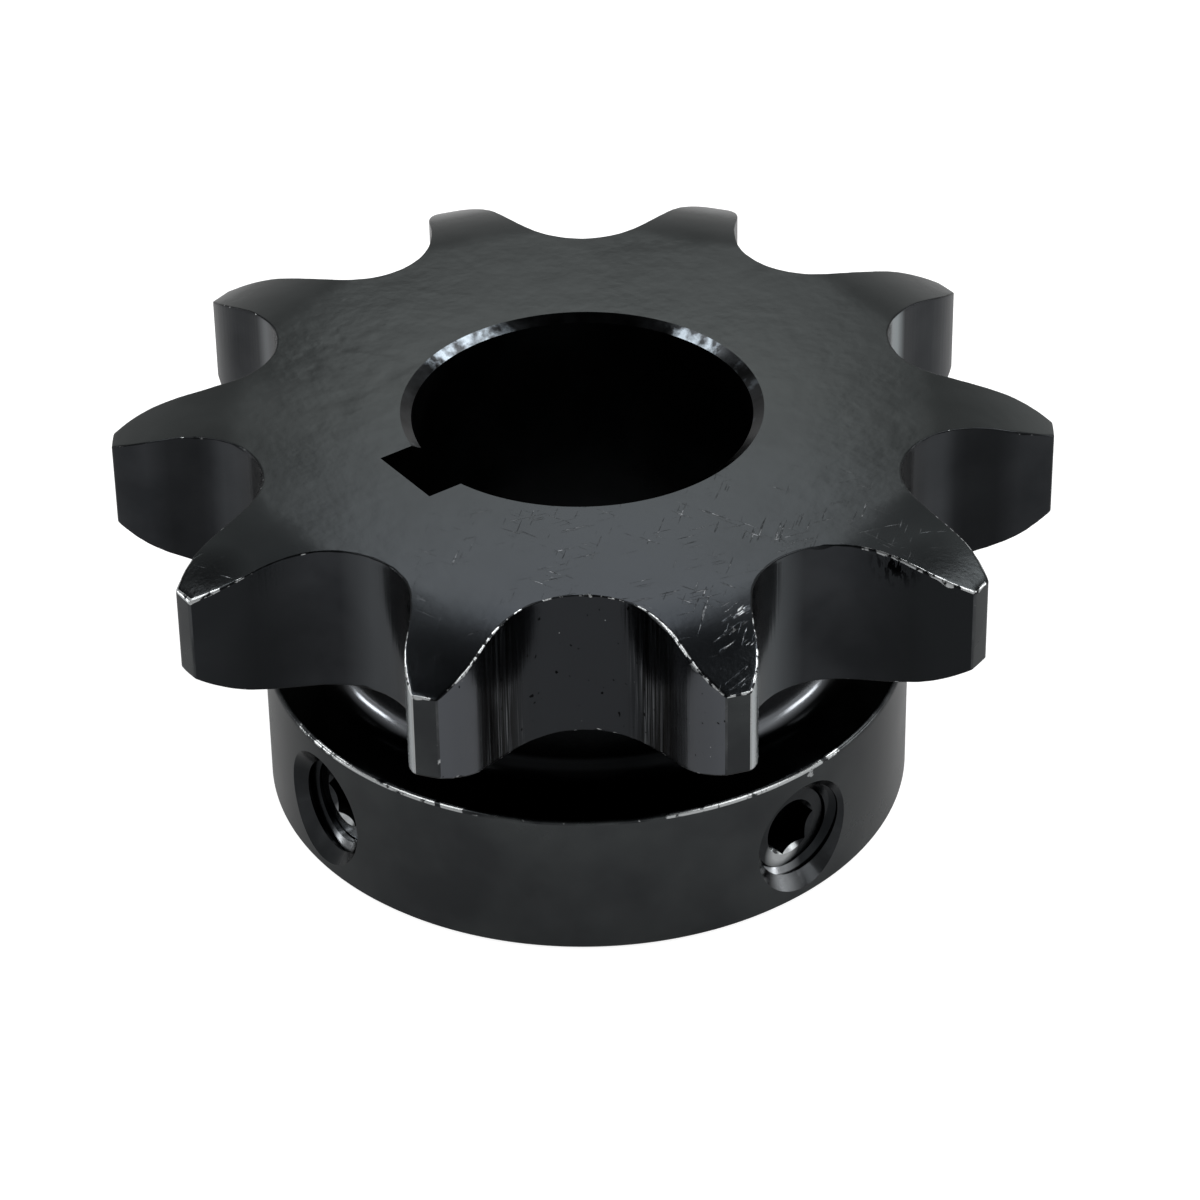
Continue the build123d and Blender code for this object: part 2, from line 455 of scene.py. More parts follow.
def threaded_rod(crest_radius, bottom, top):
    """A closed rod with a 60 degree thread, between two heights."""
    rod = bmesh.new()
    flank = THREAD_DEPTH * math.tan(math.radians(30))
    crest = THREAD_PITCH / 8
    first_turn = math.floor(bottom / THREAD_PITCH) - 1
    turns = math.ceil(top / THREAD_PITCH) - first_turn
    tail = rod.verts.new((crest_radius - THREAD_DEPTH, 0, first_turn * THREAD_PITCH))
    root = THREAD_PITCH - 2 * flank - crest
    for out, up in ((0, root), (THREAD_DEPTH, flank), (0, crest), (-THREAD_DEPTH, flank)):
        tail = bmesh.ops.extrude_vert_indiv(rod, verts=[tail])["verts"][0]
        tail.co += Vector((out, 0, up))
    bmesh.ops.spin(
        rod, geom=rod.verts[:] + rod.edges[:], cent=(0, 0, 0), axis=(0, 0, 1),
        dvec=(0, 0, THREAD_PITCH / THREAD_STEPS), angle=math.tau * turns,
        steps=THREAD_STEPS * turns, use_merge=False, use_duplicate=False,
    )
    bmesh.ops.remove_doubles(rod, verts=rod.verts, dist=SAME_SPUN_POINT)
    for height, up in ((bottom, -1), (top, 1)):
        sliced = bmesh.ops.bisect_plane(
            rod, geom=rod.verts[:] + rod.edges[:] + rod.faces[:], dist=MM / 10000,
            plane_co=(0, 0, height), plane_no=(0, 0, up), clear_outer=True,
        )
        rim = [item for item in sliced["geom_cut"] if isinstance(item, bmesh.types.BMEdge)]
        bmesh.ops.edgeloop_fill(rod, edges=rim)
    bmesh.ops.recalc_face_normals(rod, faces=rod.faces)
    return rod


print("thread", round(THREAD_PITCH / MM, 3), "mm pitch,", round(THREAD_DEPTH / MM, 2), "mm deep")

# %% The two tapped holes
UP = Vector((0, 0, 1))
HOLE_HEIGHT = 5.6 * MM
KEY_HOLE = 180
SIDE_HOLE = 275
TAP_RADIUS = 4.02 * MM
TAP_DEPTH = 14 * MM
ENTRY_RADIUS = 4.7 * MM
COUNTERSINK = 1.5 * MM


def hub_hole(degrees):
    """The transform from a rod about Z to a hole in the hub, with Z pointing outwards."""
    outwards = polar(1, degrees)
    turn = Matrix((UP, outwards.cross(UP), outwards)).transposed()
    place = outwards * HUB_RADIUS
    place.z = HOLE_HEIGHT
    return Matrix.Translation(place) @ turn.to_4x4()


for degrees in (KEY_HOLE, SIDE_HOLE):
    tap = threaded_rod(TAP_RADIUS, -TAP_DEPTH, PAST)
    bmesh.ops.transform(tap, verts=tap.verts, matrix=hub_hole(degrees))
    cut(sprocket, finished_object("tap", tap, materials["cut_thread"]))
    countersink = bmesh.new()
    bmesh.ops.create_cone(
        countersink, cap_ends=True, segments=72, depth=2 * COUNTERSINK,
        radius1=ENTRY_RADIUS - COUNTERSINK, radius2=ENTRY_RADIUS + COUNTERSINK,
    )
    bmesh.ops.transform(countersink, verts=countersink.verts, matrix=hub_hole(degrees))
    cut(sprocket, finished_object("countersink", countersink, materials["countersunk_entry"]))
print("sprocket with its holes", len(sprocket.data.polygons), "faces")

# %% [markdown]
# ## The set screws
# A socket set screw is a threaded pin with a hexagon socket in one end and a cup in the
# other. The pin is the threaded rod inside two wide cones, one for the chamfer of each
# end. The hexagon is punched in with the small chamfer that guides the key, and the cup
# comes last.

# %% One set screw along Z, with its socket end at a given depth
SCREW_RADIUS = 3.92 * MM
SCREW_LENGTH = 6.35 * MM
SCREW_CHAMFER = 0.6 * MM
SOCKET_FLATS = 3.97 * MM
SOCKET_DEPTH = 3.2 * MM
SOCKET_CHAMFER = 0.35 * MM
CUP_RADIUS = 2.2 * MM
CUP_DEPTH = 0.8 * MM
WIDE = 8 * MM    # how far the cones that chamfer the screw open out


def cone_between(low_radius, high_radius, low, high, segments=64):
    """A closed cone or prism about Z, from one height to another."""
    cone = bmesh.new()
    bmesh.ops.create_cone(
        cone, cap_ends=True, segments=segments, depth=high - low,
        radius1=low_radius, radius2=high_radius,
    )
    bmesh.ops.translate(cone, verts=cone.verts, vec=(0, 0, (low + high) / 2))
    return cone


def set_screw(name, recess, hexagon_turn):
    """A set screw whose socket end lies a recess below the hub's surface."""
    top = -recess
    bottom = top - SCREW_LENGTH
    steel = materials["screw_steel"]
    screw = finished_object(name, threaded_rod(SCREW_RADIUS, bottom, top), steel)
    end_radius = SCREW_RADIUS - SCREW_CHAMFER
    for low, high, low_radius, high_radius in (
        (top - SCREW_CHAMFER - WIDE, top + PAST, SCREW_RADIUS + WIDE, end_radius - PAST),
        (bottom - PAST, bottom + SCREW_CHAMFER + WIDE, end_radius - PAST, SCREW_RADIUS + WIDE),
    ):
        envelope = cone_between(low_radius, high_radius, low, high)
        cut(screw, finished_object("envelope", envelope, steel), "INTERSECT")
    corner = SOCKET_FLATS / 2 / math.cos(math.radians(30))
    hexagon = cone_between(corner, corner, top - SOCKET_DEPTH, top + PAST, segments=6)
    bmesh.ops.rotate(
        hexagon, verts=hexagon.verts, cent=(0, 0, 0),
        matrix=Matrix.Rotation(math.radians(hexagon_turn), 3, "Z"),
    )
    cut(screw, finished_object("hexagon", hexagon, steel))
    mouth = cone_between(corner - SOCKET_CHAMFER, corner + SOCKET_CHAMFER,
                         top - SOCKET_CHAMFER, top + SOCKET_CHAMFER)
    cut(screw, finished_object("socket_mouth", mouth, steel))
    cup = cone_between(CUP_RADIUS * 2, 0, bottom - CUP_DEPTH, bottom + CUP_DEPTH)
    cut(screw, finished_object("cup", cup, steel))
    return screw


# %% Both screws, each turned in to its own depth
KEY_RECESS = 2.2 * MM
SIDE_RECESS = 1.6 * MM
key_screw = set_screw("key_screw", KEY_RECESS, hexagon_turn=0)
key_screw.data.transform(hub_hole(KEY_HOLE))
side_screw = set_screw("side_screw", SIDE_RECESS, hexagon_turn=10)
side_screw.data.transform(hub_hole(SIDE_HOLE))
print("screws", len(key_screw.data.polygons), len(side_screw.data.polygons), "faces")

# %% [markdown]
# Both screws are the same fastener, so they are one piece of the scene, as they are one
# node of the drawing.

# %% Join the screws, and shade everything smooth between its sharp edges
SHARP_ANGLE = 31
both = bmesh.new()
both.from_mesh(key_screw.data)
both.from_mesh(side_screw.data)
set_screws = finished_object("socket_screws", both, materials["screw_steel"])
for spare in (key_screw, side_screw):
    bpy.data.objects.remove(spare)
for piece in (sprocket, set_screws):
    piece.data.shade_smooth()
    piece.data.set_sharp_from_angle(angle=math.radians(SHARP_ANGLE))

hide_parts("sprocket")
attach(sprocket, "root")
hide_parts("set_screws")
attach(set_screws, "root")
print("body material slots", [slot.name for slot in sprocket.data.materials])

# %% [markdown]
# ## Materials
# Hot blackening turns the outermost skin of the steel into black iron oxide, thinner
# than paint, so it keeps every mark the tools left and still shines like dark metal. A
# metal's reflection is its colour, so the oxide is a metal with a very dark one.

# %% Helpers for colours, sizes and nodes
def linear(code):
    """An sRGB hex colour as the linear colour that a shader takes."""
    shares = [int(code[place:place + 2], 16) / 255 for place in (1, 3, 5)]
    return [c / 12.92 if c <= 0.04045 else ((c + 0.055) / 1.055) ** 2.4 for c in shares] + [1]


def per(millimetres):
    """The texture scale that repeats every so many millimetres."""
    return 1 / (millimetres * MM)


def add(tree, kind, inputs=(), **settings):
    """Adds a node with its settings, sets or links its inputs, and returns its result."""
    made = tree.nodes.new(kind)
    for name, value in settings.items():
        setattr(made, name, value)
    for name, value in dict(inputs).items():
        if isinstance(value, bpy.types.NodeSocket):
            tree.links.new(value, made.inputs[name])
        else:
            made.inputs[name].default_value = value
    return next(socket for socket in made.outputs if socket.enabled)


def start(material):
    """Makes a material a metal, and returns its tree, its shader and Object coordinates."""
    material.use_nodes = True
    tree = material.node_tree
    shader = tree.nodes["Principled BSDF"]
    shader.inputs["Metallic"].default_value = 1
    where = tree.nodes.new("ShaderNodeTexCoord").outputs["Object"]
    return tree, shader, where


# %% [markdown]
# Every mark on the part is one of two things: a pattern that the process left all over,
# or damage in one place. So two helpers do most of the work. One draws noise of a real
# size, longer in one direction where a tool moved, and one fades out around a place. A
# third lays a tint over the colour as far as two such shares, multiplied, allow.

# %% Marks of a real size, and marks in one place
AXIS = Vector((0, 0, 0))


def at(radius_mm, degrees, height_mm):
    """A place on the part, by its radius, angle and height."""
    return polar(radius_mm * MM, degrees) + Vector((0, 0, height_mm * MM))


def drawn_noise(tree, where, size_mm, longer=(1, 1, 1), turn=0, detail=3):
    """Noise of a real size, drawn out by longer and then turned, from 0 to 1."""
    mapped = add(tree, "ShaderNodeMapping", {
        "Vector": where, "Scale": longer, "Rotation": (0, 0, math.radians(turn)),
    }, vector_type="TEXTURE")
    return add(tree, "ShaderNodeTexNoise", {
        "Vector": mapped, "Scale": per(size_mm), "Detail": detail})


def patches(tree, where, size_mm, low, high, **drawn):
    """0 where the drawn noise is below low, and 1 where it is above high."""
    return add(tree, "ShaderNodeMapRange", {
        "Value": drawn_noise(tree, where, size_mm, **drawn), "From Min": low, "From Max": high})


def near(tree, where, place, full, none):
    """1 at the full distance from a place and 0 at the other one, both in millimetres.

    A place on the floor plane stands for the whole upright line above it.
    """
    axes = (1, 1, 1 if place.z else 0)
    level = add(tree, "ShaderNodeVectorMath", {0: where, 1: axes}, operation="MULTIPLY")
    apart = add(tree, "ShaderNodeVectorMath", {0: level, 1: place}, operation="DISTANCE")
    return add(tree, "ShaderNodeMapRange", {
        "Value": apart, "From Min": full * MM, "From Max": none * MM, "To Min": 1, "To Max": 0})


def any_of(tree, where, places):
    """1 close to any of some places, each with its full distance and none, and 0 elsewhere."""
    nearest = 0
    for place, full, none in places:
        close = near(tree, where, place, full, none)
        nearest = add(tree, "ShaderNodeMath", {0: close, 1: nearest}, operation="MAXIMUM")
    return nearest


def tinted(tree, colour, marks):
    """Lays tints over a colour one by one, each as far as its two shares multiplied say."""
    for share, inside, tint in marks:
        share = add(tree, "ShaderNodeMath", {0: share, 1: inside}, operation="MULTIPLY")
        colour = add(tree, "ShaderNodeMix", {
            "Factor": share, "A": colour, "B": linear(tint)}, data_type="RGBA")
    return colour


# %% Black oxide, as a family of finishes
OXIDE = "#3f4143"
THIN_OXIDE = "#4c4f50"
DEEP_OXIDE = "#2c2e30"
THICK_OXIDE = "#1c1d1e"
GROOVE_BLACK = "#0c0d0e"
BARE_STEEL = "#c9cccd"
BRIGHT_STEEL = "#e4ecef"


def black_oxide(material, dark, light, cloud_mm, roughness, grain_mm, longer, depth_mm):
    """Black oxide whose colour clouds over, on a surface with a grain of its own.

    It returns the tree, the shader, the coordinates, the colour and the grain's height,
    for finishes that add something of their own.
    """
    tree, shader, where = start(material)
    clouds = patches(tree, where, cloud_mm, 0.35, 0.65, detail=4)
    colour = add(tree, "ShaderNodeMix", {
        "Factor": clouds, "A": linear(dark), "B": linear(light)}, data_type="RGBA")
    dull = add(tree, "ShaderNodeMapRange", {
        "Value": clouds, "To Min": roughness - 0.03, "To Max": roughness + 0.04})
    height = drawn_noise(tree, where, grain_mm, longer)
    relief = add(tree, "ShaderNodeBump", {
        "Height": height, "Distance": depth_mm * MM, "Strength": 1})
    for result, name in ((colour, "Base Color"), (dull, "Roughness"), (relief, "Normal")):
        tree.links.new(result, shader.inputs[name])
    return tree, shader, where, colour, height


black_oxide(materials["tooth_land"], OXIDE, THIN_OXIDE, 5, 0.25, 0.3, (1, 1, 10), 0.003)
black_oxide(materials["bore_wall"], THICK_OXIDE, DEEP_OXIDE, 8, 0.3, 0.5, (10, 10, 1), 0.002)
black_oxide(materials["broached_keyway"], THICK_OXIDE, DEEP_OXIDE, 5, 0.3, 0.3, (1, 1, 20), 0.004)
print("oxide", [round(share, 4) for share in linear(OXIDE)[:3]], "in linear light")

# %% [markdown]
# The plate's face was turned, and then picked up soft dents and short scratches from
# its neighbours. A scratch is noise drawn out a few times along one direction, of which
# only the highest ridges are kept, and several directions together look random. The
# scratches crowd at the front, and some of them go through to bare steel. The tips are
# scuffed dull and dark, and the front right tooth has a few real gouges. The oxide has
# a faint green cast, and towards the front a bluish tint is painted over it, a painted
# reflection of the bluer light there.

# %% The plate's face: scratches and gouges
FRONT_GAP = polar(33 * MM, 234.5)
tree, shader, where, colour, height = black_oxide(
    materials["plate_face"], "#3e4242", "#474b4b", 9, 0.18, 2.2, (1, 1, 1), 0.02)
scratches = 0
for turn in (20, 75, 130):
    scratch = patches(tree, where, 0.17, 0.7, 0.77, longer=(1, 22, 22), turn=turn, detail=1)
    scratches = add(tree, "ShaderNodeMath", {0: scratch, 1: scratches}, operation="MAXIMUM")
scratched = any_of(tree, where, (
    (polar(23 * MM, 250), 7, 20), (polar(25.5 * MM, 290), 2, 6), (polar(34 * MM, 181), 1, 4)))
for share in (scratched, patches(tree, where, 3, 0.46, 0.56, detail=1)):
    scratches = add(tree, "ShaderNodeMath", {0: scratches, 1: share}, operation="MULTIPLY")
gouges = patches(tree, where, 0.26, 0.62, 0.68, longer=(1, 9, 9), turn=100, detail=1)
gouged = any_of(tree, where, (
    (polar(28.2 * MM, 255.4), 0.6, 1.5), (polar(31.2 * MM, 254.8), 1, 2),
    (polar(34.2 * MM, 253), 0.8, 1.3)))
gouges = add(tree, "ShaderNodeMath", {0: gouges, 1: gouged}, operation="MULTIPLY")
print("scratches and gouges", len(tree.nodes), "nodes so far")

# %% The plate's face: scuffed tips and soft dents
scuffs = any_of(tree, where, (
    (polar(33.6 * MM, 284.5), 2, 5), (polar(34 * MM, 253), 2, 6),
    (polar(34 * MM, 216), 2, 5), (polar(34 * MM, 181), 2, 4)))
grit = drawn_noise(tree, where, 0.35, detail=2)
grit = add(tree, "ShaderNodeMath", {0: grit, 1: scuffs}, operation="MULTIPLY")
dented = near(tree, where, Vector((-11, 14, 0)) * MM, 3, 9)
dents = patches(tree, where, 2.6, 0.45, 0.75, detail=1)
dents = add(tree, "ShaderNodeMath", {0: dents, 1: dented}, operation="MULTIPLY")
print("scuffs and dents", len(tree.nodes), "nodes so far")

# %% The plate's face: relief and colour
SCUFFED = "#161718"
for marks, depth in ((scratches, -1), (gouges, -2.5), (grit, 0.5), (dents, -0.8)):
    height = add(tree, "ShaderNodeMath", {
        0: marks, 1: depth, 2: height}, operation="MULTIPLY_ADD")
relief = shader.inputs["Normal"].links[0].from_node
tree.links.new(height, relief.inputs["Height"])
through = patches(tree, where, 0.6, 0.5, 0.58, detail=1)
colour = tinted(tree, colour, (
    # Painted reflection: a bluish tint towards the front.
    (near(tree, where, FRONT_GAP, 8, 38), 0.5, "#41454e"),
    (scuffs, 0.4, "#1c1e20"),
    (near(tree, where, polar(34.5 * MM, 181), 1.5, 4.5), 0.8, SCUFFED),
    (near(tree, where, polar(34 * MM, 285), 2, 5), 0.6, SCUFFED),
    (scratches, through, "#9a9da0"),
    (gouges, through, "#d5d8da"),
))
tree.links.new(colour, shader.inputs["Base Color"])
print("plate face", len(tree.nodes), "nodes")

# %% [markdown]
# The hob leaves upright streaks on the tooth flanks. The two teeth in front have been
# rubbed where the gap opens, so their oxide is thinner there and looks lighter, with a
# border that is torn along the streaks. Their outer flanks are bare next to the tip. Some
# other seats are lighter, two seats at the back get painted highlights, and half way up
# two flanks painted shade stands for the shadowed floor that they reflect.

# %% The tooth flanks: streaks and the rubbed front
RUB_CENTRE = polar(3 * MM, 144.5)
tree, shader, where, colour, _ = black_oxide(
    materials["tooth_flank"], "#333538", "#404245", 5, 0.2, 0.3, (1, 1, 33), 0.01)
streaks = drawn_noise(tree, where, 0.18, (1, 1, 45), detail=2)
in_front = near(tree, where, FRONT_GAP, 13, 15)
beyond = near(tree, where, RUB_CENTRE, 31.8, 29.8)
torn = add(tree, "ShaderNodeMath", {0: streaks, 1: beyond}, operation="ADD")
rubbed = add(tree, "ShaderNodeMapRange", {"Value": torn, "From Min": 0.85, "From Max": 1.15})
border = in_front
for full, none in ((27.6, 26.2), (30, 31.4)):
    side = near(tree, where, RUB_CENTRE, full, none)
    border = add(tree, "ShaderNodeMath", {0: border, 1: side}, operation="MULTIPLY")
grooves = add(tree, "ShaderNodeMapRange", {"Value": streaks, "From Min": 0.46, "From Max": 0.54})
ridges = add(tree, "ShaderNodeMapRange", {"Value": streaks, "From Min": 0.4, "From Max": 0.34})
pits = patches(tree, where, 0.35, 0.8, 0.82, detail=0)
specks = patches(tree, where, 0.2, 0.88, 0.9, detail=0)
stains = patches(tree, where, 0.3, 0.5, 0.54, longer=(1, 1, 3))
print("streaks and pits", len(tree.nodes), "nodes so far")

# %% The tooth flanks: colour
RUBBED_SEAT = "#606366"
colour = tinted(tree, colour, (
    # Darker flanks towards the tips, except at the back, and an even front gap.
    (near(tree, where, AXIS, 31, 27), near(tree, where, polar(33 * MM, 245), 31, 45), "#2a2c2e"),
    (1, near(tree, where, FRONT_GAP, 9, 15), "#3a3c3f"),
    # Bands and seats of the gaps at both sides.
    (0.55, near(tree, where, polar(29.6 * MM, 149.8), 1.2, 3), THICK_OXIDE),
    (0.55, near(tree, where, polar(29.6 * MM, 318.2), 1.2, 3), THICK_OXIDE),
    (0.3, near(tree, where, polar(26.2 * MM, 153.2), 0.6, 1.8), RUBBED_SEAT),
    (0.3, near(tree, where, polar(26.2 * MM, 314.8), 0.6, 1.8), RUBBED_SEAT),
    (1, near(tree, where, polar(24.9 * MM, 266), 0.5, 3.2), "#63676a"),
    (1, near(tree, where, polar(24.8 * MM, 198.5), 0.8, 3.2), "#55585b"),
    # Painted shade half way up two flanks, for the shadowed floor that they reflect.
    (0.4, near(tree, where, at(28, 187.3, 23.5), 2, 6), THICK_OXIDE),
    (0.4, near(tree, where, at(27.5, 280, 23.5), 2, 6), THICK_OXIDE),
    # The rubbed walls of the front gap, their torn border and small marks.
    (rubbed, in_front, "#65686d"),
    (grooves, border, GROOVE_BLACK),
    (ridges, border, "#707376"),
    (pits, in_front, GROOVE_BLACK),
    (specks, in_front, BARE_STEEL),
    (stains, near(tree, where, at(29.8, 282.3, 30.8), 0.6, 2.2), "#050506"),
    # Bare metal next to the tips; at the far sides, painted glints in two seats and a painted
    # lighter patch.
    (1, near(tree, where, polar(34 * MM, 213), 1.3, 1.6), BRIGHT_STEEL),
    (1, near(tree, where, polar(34 * MM, 255), 1.3, 1.6), BRIGHT_STEEL),
    (1, near(tree, where, polar(26.9 * MM, 351.5), 0.4, 1.5), "#a9b1b4"),
    (1, near(tree, where, polar(27.5 * MM, 115.5), 0.2, 1.3), "#75787b"),
    (0.2, near(tree, where, polar(32.7 * MM, 356), 1, 4), "#6a6d70"),
))
tree.links.new(colour, shader.inputs["Base Color"])
print("tooth flank", len(tree.nodes), "nodes")

# %% [markdown]
# Where parts knocked together the oxide is gone and bare steel shows as a bright, broken
# line. Noise decides where: steel above its threshold, oxide below. Each worn place
# raises the noise around it, so that the line joins up there.

# %% A helper that lets bare steel show
WHOLE_OXIDE = 0.56


def show_steel(finish, size_mm, gain, *places, steel=BARE_STEEL, bare_from=0.62):
    """Breaks a finish up with bare steel: gain counts everywhere, and each place adds its
    own between a full distance and none. The oxide is whole where the sum is at most
    WHOLE_OXIDE, and the steel is quite bare from bare_from up.
    """
    tree, shader, where, colour, _ = finish
    breaks = drawn_noise(tree, where, size_mm, detail=5)
    breaks = add(tree, "ShaderNodeMath", {0: breaks, 1: gain}, operation="ADD")
    for place, full, none, more in places:
        share = near(tree, where, place, full, none)
        breaks = add(tree, "ShaderNodeMath", {
            0: share, 1: more, 2: breaks}, operation="MULTIPLY_ADD")
    bare = add(tree, "ShaderNodeMapRange", {
        "Value": breaks, "From Min": WHOLE_OXIDE, "From Max": bare_from})
    colour = add(tree, "ShaderNodeMix", {
        "Factor": bare, "A": colour, "B": linear(steel)}, data_type="RGBA")
    tree.links.new(colour, shader.inputs["Base Color"])


# %% Bare steel on the tooth edges and the corners of the lands
# A knock bares the steel within 0.6 of its reach, and fades out at 1.2 of it.
KNOCK_HEIGHT = 30 * MM
knocked_places = [
    (place + UP * KNOCK_HEIGHT, reach / MM * 0.6, reach / MM * 1.2, 0.2)
    for place, reach, _ in KNOCKS]
edge = black_oxide(
    materials["worn_edge"], THICK_OXIDE, DEEP_OXIDE, 3, 0.25, 0.4, (1, 1, 1), 0.012)
show_steel(
    edge, 0.6, -0.1, (AXIS, 33, 26, 0.03),
    (at(27, 234.5, 31), 4, 7, 0.13), (at(31, 234.5, 20), 9, 12, 0.08), *knocked_places,
)
corner = black_oxide(materials["land_corner"], OXIDE, "#606264", 3, 0.25, 0.4, (1, 1, 1), 0.012)
show_steel(
    corner, 0.8, -0.08,
    (polar(34.9 * MM, 214), 0.5, 0.8, 0.4), (polar(34.9 * MM, 254), 0.5, 0.8, 0.4),
)
print("worn places", len(knocked_places), "on the tooth edges")

# %% Bare steel on the hub and round the mouth of the bore
rim = black_oxide(materials["worn_rim"], DEEP_OXIDE, THIN_OXIDE, 3, 0.25, 0.4, (1, 1, 1), 0.012)
show_steel(
    rim, 0.8, -0.12,
    (polar(HUB_RADIUS, 196), 6.5, 10.5, 0.3), (polar(HUB_RADIUS, 266), 6.5, 9.5, 0.3),
)
mouth = black_oxide(materials["bore_mouth"], "#141516", "#303234", 2, 0.16, 1, (1, 1, 1), 0.008)
show_steel(
    mouth, 0.9, -0.14, (at(13.2, 97, 31.5), 4, 5.2, 0.32), (at(13.1, 12, 31.5), 1.8, 2.8, 0.3),
    (at(13.1, 342, 31.5), 2, 4, 0.14), (at(13.4, 166, 31.5), 0.5, 0.9, 0.3),
    steel="#676e74", bare_from=0.78,
)
hub = black_oxide(materials["turned_hub"], "#434547", "#525556", 8, 0.24, 0.5, (10, 10, 1), 0.003)
show_steel(hub, 0.5, -0.26, (at(24.6, 276.3, 11.2), 0.3, 0.6, 0.4))
print("hub", len(hub[0].nodes), "nodes, mouth", len(mouth[0].nodes), "nodes")

# %% [markdown]
# The neck and the holes are deep in shade, and the neck's near-black colour adds painted
# shade to it. Their bright places are painted highlights, some over real lamp light: the
# fillet at both sides of the front teeth, the thread at the bottom of each hole, the
# lower edge of one countersink, and the edge of each socket.

# %% The neck, the threads and the screws
# Below the floor height, in millimetres, a finish has none of its painted highlights.
for name, dark, light, cloud_mm, highlight_floor_mm, tint, places in (
    # The neck: near-black partly as painted shade, with a painted highlight on the fillet band.
    ("neck_painted_shade_and_glint", GROOVE_BLACK, "#141516", 8, 12.5, "#76797d",
     ((polar(20 * MM, 184), 4, 6.5), (polar(20 * MM, 284), 4, 7))),
    # Painted highlights on the threads at the bottom of the holes and on one countersink.
    ("cut_thread", "#222426", DEEP_OXIDE, 3, 0, "#8a8d90",
     ((at(23.4, 271.5, 2.6), 1.2, 2.4), (at(23.6, 183, 2.2), 1, 2))),
    ("countersunk_entry", "#343638", "#404244", 3, 0, "#8a8d90",
     ((at(24.1, 271.3, 1.9), 0.6, 2),)),
    # Painted glints on the edge of each socket.
    ("screw_steel", DEEP_OXIDE, OXIDE, 3, 0, "#dfe3e5",
     ((at(23, 273, 3.9), 0.9, 1.8), (at(22.4, 180.5, 3.5), 1, 1.9))),
):
    tree, shader, where, colour, _ = black_oxide(
        materials[name], dark, light, cloud_mm, 0.17, 0.5, (1, 1, 1), 0.004)
    height = add(tree, "ShaderNodeVectorMath", {0: where, 1: UP}, operation="DOT_PRODUCT")
    above = add(tree, "ShaderNodeMapRange", {
        "Value": height, "From Min": (highlight_floor_mm - 0.3) * MM, "From Max": (highlight_floor_mm + 0.2) * MM})
    colour = tinted(tree, colour, [
        (near(tree, where, place, full, none), above, tint) for place, full, none in places])
    tree.links.new(colour, shader.inputs["Base Color"])
    print(name, len(tree.nodes), "nodes")

# %% [markdown]
# ## The studio
# The part stands on white, with soft light from behind, from both sides and, fainter,
# from the front, and almost none from straight overhead, which is why its top face is
# grey and its tips are black. Each light is set by how bright it looks, so a reflection
# can be read as a share of that brightness.

# %% The camera, at the photograph's angle
CAMERA_AZIMUTH = 234.5
CAMERA_ELEVATION = 34.651
CAMERA_DISTANCE = 360.704 * MM
CAMERA_ROLL = -0.947
AIM_HEIGHT = 14.29 * MM
AIM_RIGHT = 1.09 * MM
SENSOR_WIDTH = 36
FOCAL_LENGTH = 141.97


def direction(azimuth, elevation):
    """The unit vector at an azimuth from +X and an elevation, both in degrees."""
    level = math.cos(math.radians(elevation))
    return polar(level, azimuth) + UP * math.sin(math.radians(elevation))


def looking(back):
    """The turn of a camera or lamp whose back points this way, with its top up."""
    right = UP.cross(back).normalized()
    return Matrix((right, back.cross(right), back)).transposed()


back = direction(CAMERA_AZIMUTH, CAMERA_ELEVATION)
turn = looking(back) @ Matrix.Rotation(math.radians(CAMERA_ROLL), 3, "Z")
aim = UP * AIM_HEIGHT + turn.col[0] * AIM_RIGHT
camera = bpy.data.objects.new("camera", bpy.data.cameras.new("camera"))
bpy.context.scene.collection.objects.link(camera)
camera.matrix_world = Matrix.Translation(aim + back * CAMERA_DISTANCE) @ turn.to_4x4()
camera.data.sensor_width = SENSOR_WIDTH
camera.data.lens = FOCAL_LENGTH
camera.data.clip_start = 10 * MM
bpy.context.scene.camera = camera
print("camera", [round(part / MM, 1) for part in camera.location], "mm")

# %% The lights
def softbox(name, azimuth, elevation, distance, width, height, radiance):
    """A rectangular light that faces the part. Its azimuth is counted from the camera's
    far side, positive to the right, and radiance is how bright it looks.
    """
    lamp = bpy.data.lights.new(name, "AREA")
    lamp.shape = "RECTANGLE"
    lamp.size = width
    lamp.size_y = height
    lamp.energy = radiance * math.pi * width * height
    out = direction(CAMERA_AZIMUTH + 180 - azimuth, elevation)
    holder = bpy.data.objects.new(name, lamp)
    place = out * distance + UP * AIM_HEIGHT
    holder.matrix_world = Matrix.Translation(place) @ looking(out).to_4x4()
    bpy.context.scene.collection.objects.link(holder)
    print(name, round(lamp.energy, 2), "W")


# Azimuth and elevation in degrees; distance, width and height in metres; radiance.
softbox("back_softbox", 0, 45.5, 0.6, 0.11, 0.3, 1.15)
softbox("right_softbox", 67, 53, 0.9, 0.34, 0.36, 6)
softbox("left_softbox", -67, 53, 0.9, 0.26, 0.3, 5)
softbox("right_strip", 82, 5, 0.9, 0.3, 0.14, 6)
softbox("left_strip", -82, 5, 0.9, 0.3, 0.14, 6)
softbox("front_right_softbox", 116, 50, 0.9, 0.4, 0.4, 2)
softbox("front_left_softbox", -116, 50, 0.9, 0.4, 0.4, 2)

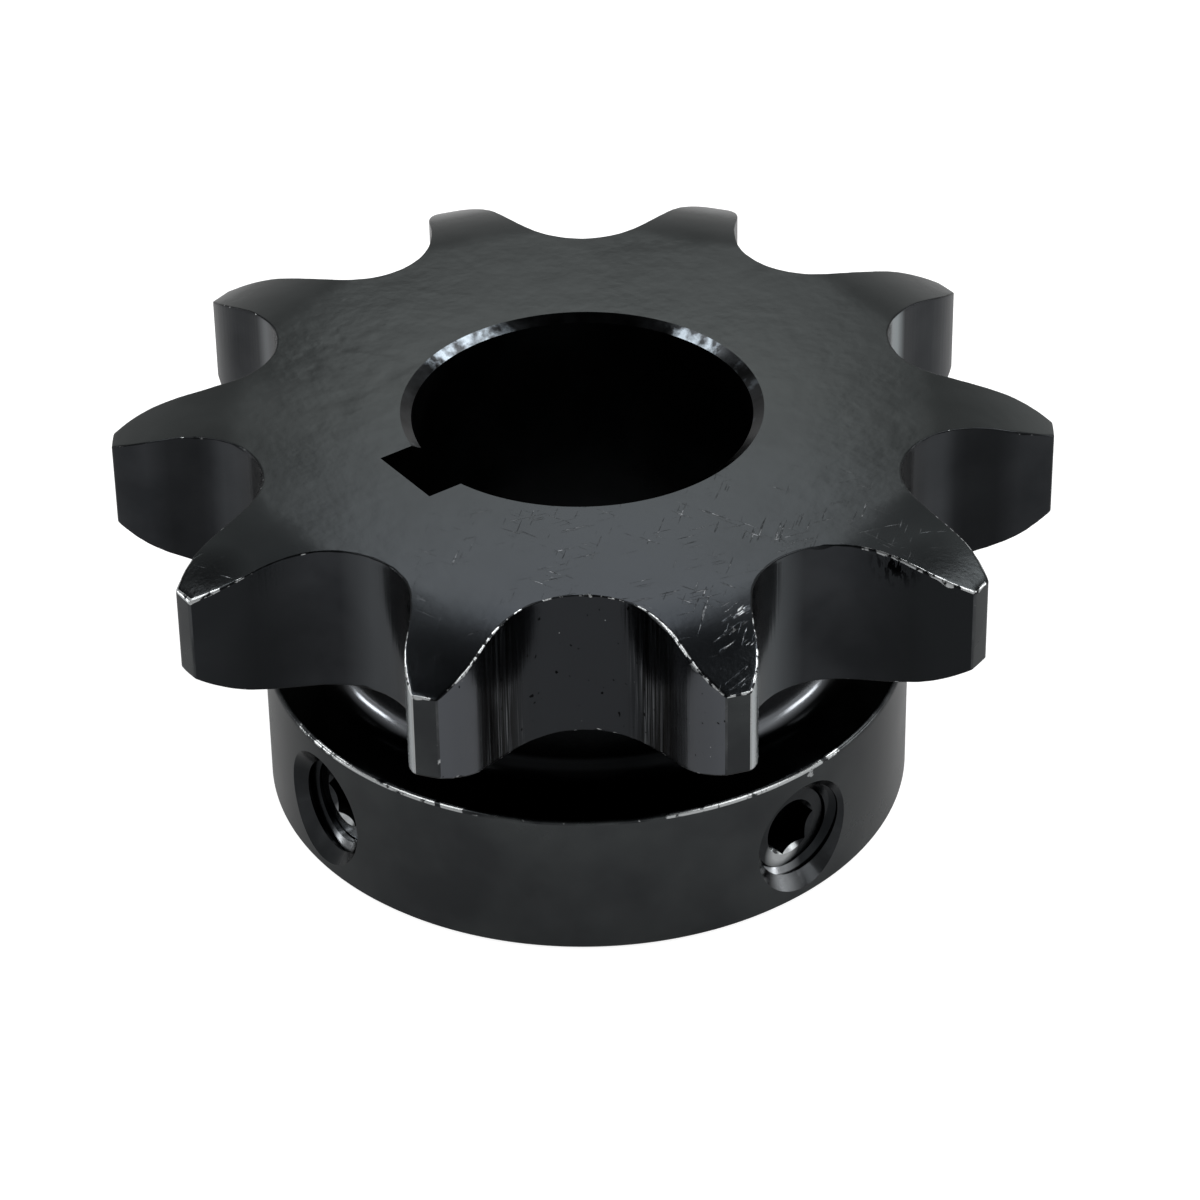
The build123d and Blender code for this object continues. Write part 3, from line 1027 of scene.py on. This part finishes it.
# %% The white floor
FLOOR_SIZE = 3.0
floor_mesh = bmesh.new()
bmesh.ops.create_grid(floor_mesh, x_segments=1, y_segments=1, size=FLOOR_SIZE / 2)
floor = finished_object("studio_floor", floor_mesh, bpy.data.materials.new("white_sweep"))
tree, shader, _ = start(floor.data.materials[0])
shader.inputs["Metallic"].default_value = 0
shader.inputs["Base Color"].default_value = linear("#b0b0b0")
shader.inputs["Roughness"].default_value = 0.9
shader.inputs["Emission Color"].default_value = linear("#ffffff")
seen = tree.nodes.new("ShaderNodeLightPath").outputs["Is Camera Ray"]
glow = add(tree, "ShaderNodeMapRange", {"Value": seen, "To Min": 0.15, "To Max": 0.9})
tree.links.new(glow, shader.inputs["Emission Strength"])
print("floor", FLOOR_SIZE, "m wide")

# %% [markdown]
# The camera sees the room and the floor as plain white. What the part reflects is another
# matter: a grey room that is brighter low down and to the right, and darker at its
# ceiling and high up behind the camera.

# %% The room
world = bpy.data.worlds.new("studio_room")
bpy.context.scene.world = world
world.use_nodes = True
sky = world.node_tree
ray = sky.nodes.new("ShaderNodeTexCoord").outputs["Generated"]
seen = sky.nodes.new("ShaderNodeLightPath").outputs["Is Camera Ray"]
ROOM_STRENGTH = 0.32
room = ROOM_STRENGTH
# Each row names a direction, and scales the room by how closely a ray follows it: by one
# factor up to a low share, by another from a high share on, and in between by a ramp.
for towards, low, high, to_low, to_high in (
    (UP, 0.38, 0.5, 1.35, 1),
    (UP, 0.74, 0.93, 1, 0.22),
    (direction(CAMERA_AZIMUTH, 62), 0.72, 0.9, 1, 0.3),
    (polar(1, CAMERA_AZIMUTH + 90), 0.1, 0.5, 1, 1.5),
):
    share = add(sky, "ShaderNodeVectorMath", {0: ray, 1: towards}, operation="DOT_PRODUCT")
    light = add(sky, "ShaderNodeMapRange", {
        "Value": share, "From Min": low, "From Max": high, "To Min": to_low, "To Max": to_high})
    room = add(sky, "ShaderNodeMath", {0: room, 1: light}, operation="MULTIPLY")
shown = add(sky, "ShaderNodeMath", {0: room, 1: seen}, operation="MAXIMUM")
sky.links.new(shown, sky.nodes["Background"].inputs["Strength"])
sky.nodes["Background"].inputs["Color"].default_value = linear("#ffffff")
bpy.context.scene.view_settings.view_transform = "Standard"
print("room", len(sky.nodes), "nodes")
